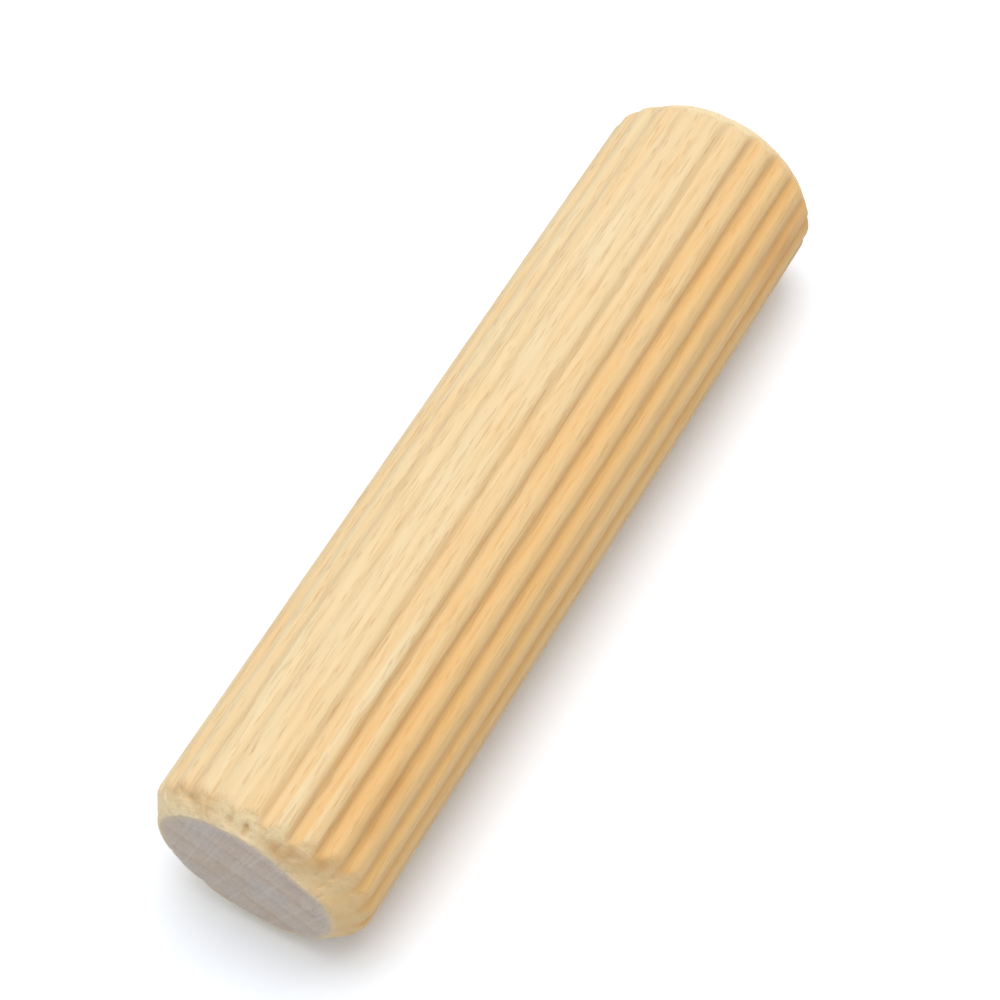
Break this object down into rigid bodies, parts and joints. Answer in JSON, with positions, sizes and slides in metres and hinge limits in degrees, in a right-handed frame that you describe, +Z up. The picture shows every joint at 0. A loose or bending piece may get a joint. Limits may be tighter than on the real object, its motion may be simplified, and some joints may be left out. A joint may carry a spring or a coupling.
{
  "type": "dowel pin",
  "caption": "Straight wooden dowel pin with lengthwise flutes and softly bevelled flat ends, pressed into matching holes to join two boards.",
  "frame": {"origin": "on the pin's axis at mid-length, where the joint line falls between the two boards", "axes": "+X along the pin's axis, +Z up, with the pin lying on the two ribs beside its lowest flute"},
  "size_m": [0.04, 0.01, 0.01],
  "materials": {
    "beech": "bare, turned and pressed, matt"
  },
  "bodies": {
    "root": {"dowel_pin": "beech"}
  },
  "joints": []
}
